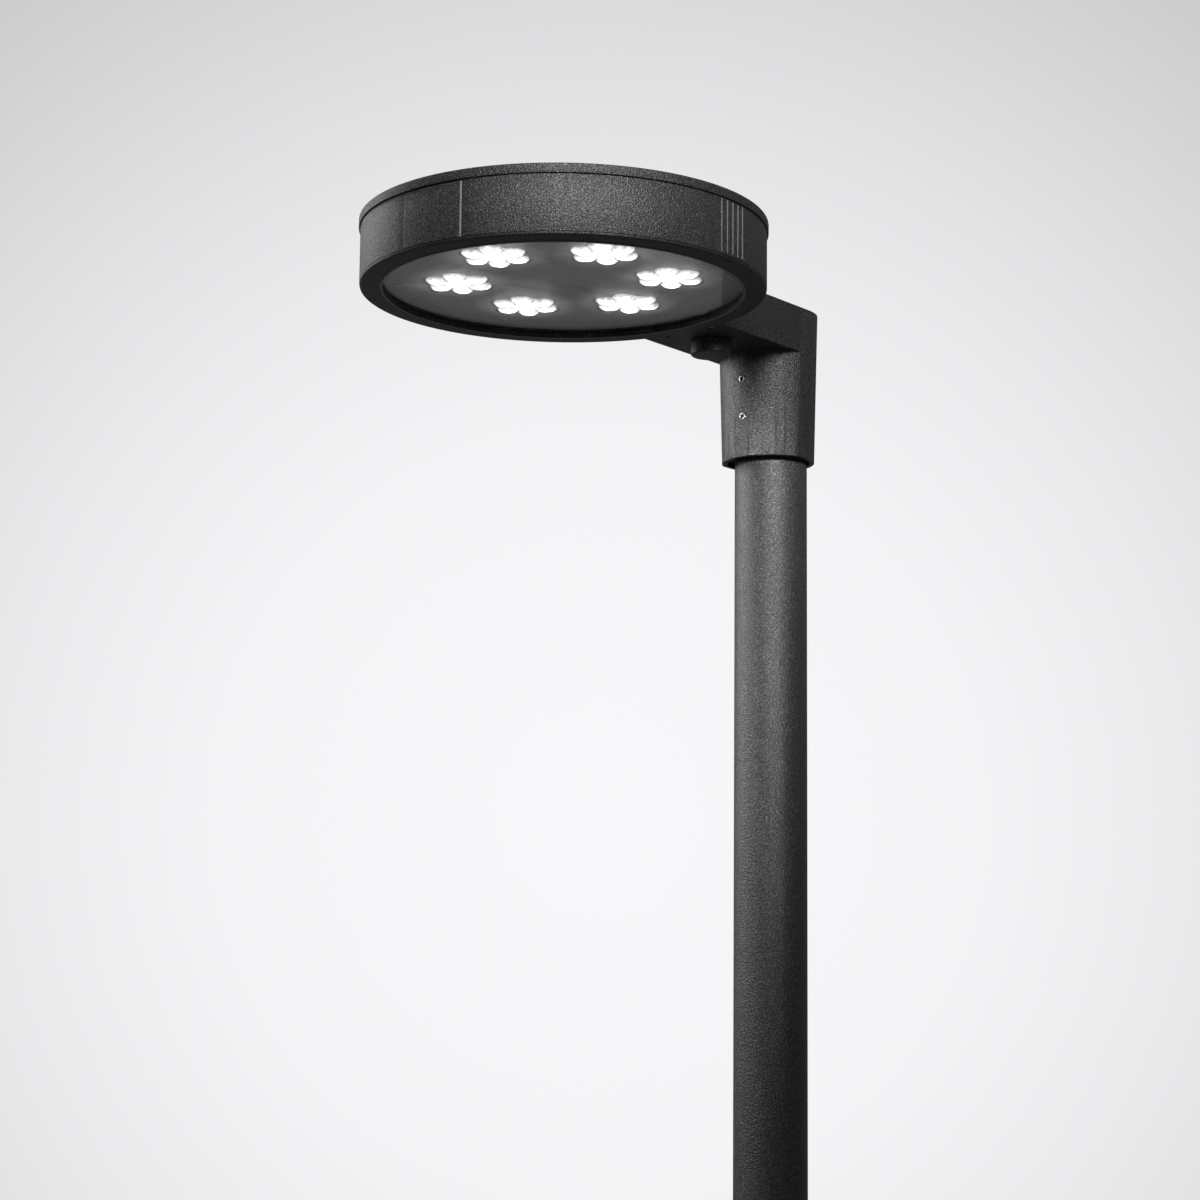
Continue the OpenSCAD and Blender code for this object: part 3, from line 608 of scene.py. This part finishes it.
SOFT = {
    "base_plate": (0.0012, 3), "post_tube": (0.0005, 2), "door_panel": (0.0006, 2),
    "door_bridges": (0.0004, 1), "mounting_rail": (0.0004, 1), "earth_stud": (0.0003, 1),
    "fuse_box": (0.0007, 2), "fuse_base": (0.0006, 2), "fuse_box_lid": (0.0005, 2),
    "fuse_carrier": (0.0009, 2), "box_glands": (0.0004, 2), "riser_socket": (0.0007, 2),
    "door_bolt_upper": (0.0004, 2), "door_bolt_lower": (0.0004, 2),
    "bracket": (0.0011, 3), "grub_screws": (0.00035, 2), "bracket_bolts": (0.0004, 2),
    "lead_plug": (0.0007, 2), "sensor_socket": (0.0004, 2), "socket_cap": (0.0007, 3),
    "housing_body": (0.00028, 2), "top_cover_screws": (0.0003, 2),
    "heat_spreader": (0.0004, 1), "led_boards": (0.0002, 1), "reflector_plate": (0.0003, 2),
    "reflector_screws": (0.0003, 1), "led_driver": (0.0009, 2), "driver_screws": (0.0003, 1),
    "surge_protector": (0.0012, 3), "terminal_block": (0.0007, 2),
    "latch_panel": (0.0009, 2), "glass_frame": (0.0008, 2), "glass_clips": (0.0003, 1),
    "frame_gasket": (0.0005, 2), "top_cover_gasket": (0.0005, 2), "door_gasket": (0.0004, 1),
    "glass_seal": (0.0004, 2), "socket_cap_seal": (0.0003, 2), "lead_grommet": (0.0005, 2),
}
_panel = [v.co for v in frame["nodes"]["latch_panel"].data.vertices]
BAND_R = max(math.hypot(v.x, v.y - HEAD_Y) for v in _panel)
_edge = max((v for v in _panel if math.hypot(v.x, v.y - HEAD_Y) > BAND_R - 0.0006), key=lambda v: v.x)
PANEL_EDGE = (_edge.x, _edge.y)
# the housing's rib tops, the latch panel's edge and the frame's inner lower lip carry a painted highlight: a paler
# grey in their powder
OWN = {"glass_clips": plastic("black_zinc", (0.020, 0.020, 0.021), 0.5, 0.6),
       "housing_body": powder("ribbed_casting", PAINT, 0.45, 1.0,
                              ((0, HEAD_Y), BAND_R + 0.00030, BAND_R + 0.00065)),
       "latch_panel": powder("panel_casting", PAINT, 0.45, 1.0, (PANEL_EDGE, 0.0019, 0.0009)),
       "glass_frame": powder("lipped_frame", (0.0085, 0.0082, 0.0083), 0.50, 0.6,
                             ((0, HEAD_Y), 0.1751, 0.1747, CZ + 0.1069, CZ + 0.1073)),
       "grub_screws": metal("oiled_steel", (0.30, 0.297, 0.29), 0.20)}
for _n, (_w, _g) in SOFT.items():
    if _n == "glass_frame":
        _o = soften(_n, _w, _g, pick=lambda e: math.hypot(*((e.verts[0].co + e.verts[1].co) / 2
                                                            - Vector((0, HEAD_Y, 0))).xy) > 0.178)
    else:
        _o = soften(_n, _w, _g)
    if _n in OWN:
        _o.data.materials.clear()
        _o.data.materials.append(OWN[_n])
make_lenses()
rounded_cover()

# every CAD node still shown gets its own finish
for _n, _o in frame["nodes"].items():
    if not _o.hide_render:
        if not _o.material_slots:
            _o.data.materials.append(M[SLOT[_n]])
        for _ms in _o.material_slots:
            _ms.material = M[SLOT[_n]]


# ---------------------------------------------------------------- floor, sky and lights
def make_floor():
    bm = bmesh.new()
    n = 96
    rings = [0.0, 0.6, 1.5, 3.0, 5.0, 7.5, 10.0]
    lathe(bm, [(r, -0.0005) for r in rings], (0, 0), n, closed=False)
    m = Mat("floor_paper", 0.8)
    xyz = m.new("ShaderNodeVectorMath", operation="LENGTH")
    m.link(m.co, xyz.inputs[0])
    m.base(m.mix(m.map(m.noise(3.0, 3.0, 0.5), 0.0, 1.0), (0.34, 0.34, 0.345), (0.37, 0.37, 0.375)))
    m.bsdf.inputs["Emission Color"].default_value = (1.0, 1.0, 1.01, 1.0)
    m.bsdf.inputs["Emission Strength"].default_value = 0.45
    clear = m.new("ShaderNodeBsdfTransparent")
    mixer = m.new("ShaderNodeMixShader")
    under = m.new("ShaderNodeMath", operation="MAXIMUM")      # clear from underneath
    m.link(m.map(xyz.outputs["Value"], 0.0, 1.0, 4.0, 9.5, smooth=True), under.inputs[0])
    m.link(m.new("ShaderNodeNewGeometry").outputs["Backfacing"], under.inputs[1])
    m.link(under.outputs[0], mixer.inputs[0])
    m.link(m.bsdf.outputs[0], mixer.inputs[1])
    m.link(clear.outputs[0], mixer.inputs[2])
    m.link(mixer.outputs[0], m.nt.nodes["Material Output"].inputs["Surface"])
    o = finish_mesh(bm, "floor", m.m)
    if o.data.polygons[0].normal.z < 0:
        o.data.flip_normals()
    o.visible_diffuse = False
    o.visible_glossy = False


def make_sky():
    w = bpy.data.worlds.new("studio")
    scene.world = w
    w.use_nodes = True
    nt = w.node_tree
    nt.nodes.clear()
    out = nt.nodes.new("ShaderNodeOutputWorld")
    co = nt.nodes.new("ShaderNodeTexCoord")
    e = D(4.2)
    centre = CAM_AHEAD * math.cos(e) + Vector((0, 0, math.sin(e)))
    dot = nt.nodes.new("ShaderNodeVectorMath")
    dot.operation = "DOT_PRODUCT"
    dot.inputs[1].default_value = centre
    nt.links.new(co.outputs["Generated"], dot.inputs[0])
    acos = nt.nodes.new("ShaderNodeMath")
    acos.operation = "ARCCOSINE"
    nt.links.new(dot.outputs["Value"], acos.inputs[0])
    ramp = nt.nodes.new("ShaderNodeValToRGB")
    span = nt.nodes.new("ShaderNodeMapRange")
    span.inputs["From Max"].default_value = D(30)
    nt.links.new(acos.outputs[0], span.inputs["Value"])
    nt.links.new(span.outputs["Result"], ramp.inputs["Fac"])
    stops = [(0.0, 0.940), (8.0, 0.905), (12.7, 0.820), (15.0, 0.765), (17.5, 0.700), (21.0, 0.605), (30.0, 0.60)]
    el = ramp.color_ramp.elements
    while len(el) < len(stops):
        el.new(0.5)
    for s, (deg, v) in zip(el, stops):
        s.position = deg / 30.0
        s.color = (v, v, v * 1.018, 1.0)
    seen = nt.nodes.new("ShaderNodeBackground")
    nt.links.new(ramp.outputs["Color"], seen.inputs["Color"])
    unseen = nt.nodes.new("ShaderNodeBackground")
    unseen.inputs["Color"].default_value = (0.125, 0.125, 0.127, 1.0)
    path = nt.nodes.new("ShaderNodeLightPath")
    mix = nt.nodes.new("ShaderNodeMixShader")
    nt.links.new(path.outputs["Is Camera Ray"], mix.inputs[0])
    nt.links.new(unseen.outputs[0], mix.inputs[1])
    nt.links.new(seen.outputs[0], mix.inputs[2])
    nt.links.new(mix.outputs[0], out.inputs["Surface"])


def softbox(name, where, aim, size, radiance, spread=180.0):
    """An area light that the camera doesn't see."""
    d = bpy.data.lights.new(name, "AREA")
    d.shape = "RECTANGLE"
    d.size, d.size_y = size
    d.energy = radiance * math.pi * size[0] * size[1]
    d.spread = D(spread)
    o = bpy.data.objects.new(name, d)
    scene.collection.objects.link(o)
    o.location = where
    o.rotation_euler = (Vector(aim) - Vector(where)).to_track_quat("-Z", "Y").to_euler()
    o.visible_camera = False
    return o


def around(deg, dist, z, centre=Vector((0, HEAD_Y, 0))):
    """A point round the head; 0 is towards the camera and positive is to the camera's right."""
    a = D(deg)
    d = TO_CAM * math.cos(a) + CAM_RIGHT * math.sin(a)
    return (centre.x + d.x * dist, centre.y + d.y * dist, z)


HEAD = (0, HEAD_Y, CZ + 0.10)
make_floor()
make_sky()
def receivers(name, test):
    c = bpy.data.collections.new(name)
    for o in scene.objects:
        if o.type == "MESH" and test(o.name):
            c.objects.link(o)
    return c


SHAFT = ("post_tube", "door_", "base_plate")
upper = receivers("upper", lambda n: n != "floor" and not any(k in n for k in SHAFT))
shaft = receivers("shaft", lambda n: any(k in n for k in SHAFT))
side = receivers("side", lambda n: any(k in n for k in SHAFT + ("bracket", "grub")))
front = softbox("front_box", around(10, 4.0, CZ + 1.9), HEAD, (3.3, 2.2), 12.0)
front.light_linking.receiver_collection = upper
post_front = softbox("post_front", around(10, 4.2, CZ + 1.0), (0, 0, CZ + 0.20), (2.6, 0.5), 4.0, 18.0)
post_front.light_linking.receiver_collection = shaft
collar = softbox("collar_box", around(-32, 3.0, CZ + 0.55), (0, 0, CZ + 0.0), (1.3, 0.6), 4.0, 40.0)
collar.light_linking.receiver_collection = receivers("collar", lambda n: "bracket" in n or "grub" in n)
softbox("left_box", around(-128, 2.4, CZ + 0.9), HEAD, (1.1, 2.2), 2.8)
softbox("back_box", around(176, 4.5, CZ + 1.2), HEAD, (1.2, 2.2), 0.9)
# a strip beside the post that only the post and its bracket receive
strip = softbox("post_strip", around(-80, 1.7, CZ + 0.78, Vector((0, 0, 0))), (0, 0, CZ + 0.30), (2.9, 1.1), 4.2)
strip.light_linking.receiver_collection = side
softbox("top_box", (0.0, HEAD_Y, CZ + 3.2), HEAD, (3.0, 3.0), 1.0)
for _i, (_a, _l) in enumerate(((-30, 2.2), (75, 1.8), (-130, 2.0), (150, 1.8))):
    softbox(f"low_box_{_i}", around(_a, 3.2, 1.75, Vector((0, 0, 0))), (0, 0, 0.45), (1.6, 1.2), _l, 58.0)

scene.view_settings.view_transform = "Standard"
scene.view_settings.look = "None"
scene.view_settings.exposure = 0.0
scene.view_settings.gamma = 1.0
